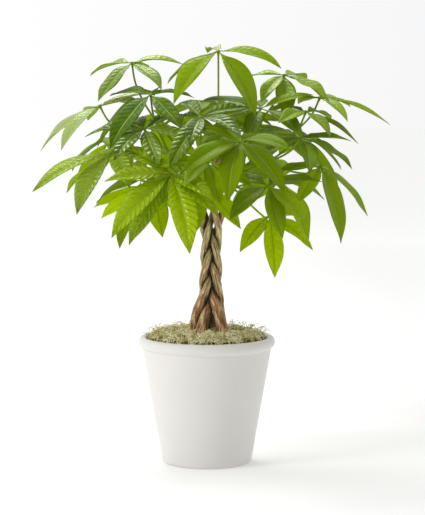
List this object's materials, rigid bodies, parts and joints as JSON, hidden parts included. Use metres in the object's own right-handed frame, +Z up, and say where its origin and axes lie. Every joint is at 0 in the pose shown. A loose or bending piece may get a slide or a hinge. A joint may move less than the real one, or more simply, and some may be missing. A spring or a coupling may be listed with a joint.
{
  "type": "potted money tree",
  "caption": "Potted money tree: slim trunks braided together, a spreading crown of palmate leaves on long stalks, dry moss over the soil, in a tapered pot with a rolled rim.",
  "frame": {"origin": "centre of the pot's flat foot, where it stands on a surface", "axes": "+Z up through the pot and the braided trunks, -Y to the front, +X to the right as seen from the front"},
  "size_m": [0.4572, 0.3719, 0.5424],
  "materials": {
    "pot": "satin",
    "soil": "matte",
    "moss": "matte",
    "bark": "matte",
    "leaf": "satin"
  },
  "bodies": {
    "root": {"pot": "pot", "soil": "soil", "moss": "moss", "trunk_1": "bark", "trunk_2": "bark", "trunk_3": "bark", "trunk_4": "bark", "trunk_5": "bark", "frond_01": "leaf", "frond_02": "leaf", "frond_03": "leaf", "frond_04": "leaf", "frond_05": "leaf", "frond_06": "leaf", "frond_07": "leaf", "frond_08": "leaf", "frond_09": "leaf", "frond_10": "leaf", "frond_11": "leaf", "frond_12": "leaf", "frond_13": "leaf", "frond_14": "leaf", "frond_15": "leaf", "frond_16": "leaf", "frond_17": "leaf", "frond_18": "leaf", "frond_19": "leaf", "frond_20": "leaf", "frond_21": "leaf", "frond_22": "leaf", "frond_23": "leaf", "frond_24": "leaf", "frond_25": "leaf", "frond_26": "leaf", "frond_27": "leaf", "frond_28": "leaf", "frond_29": "leaf"}
  },
  "joints": []
}
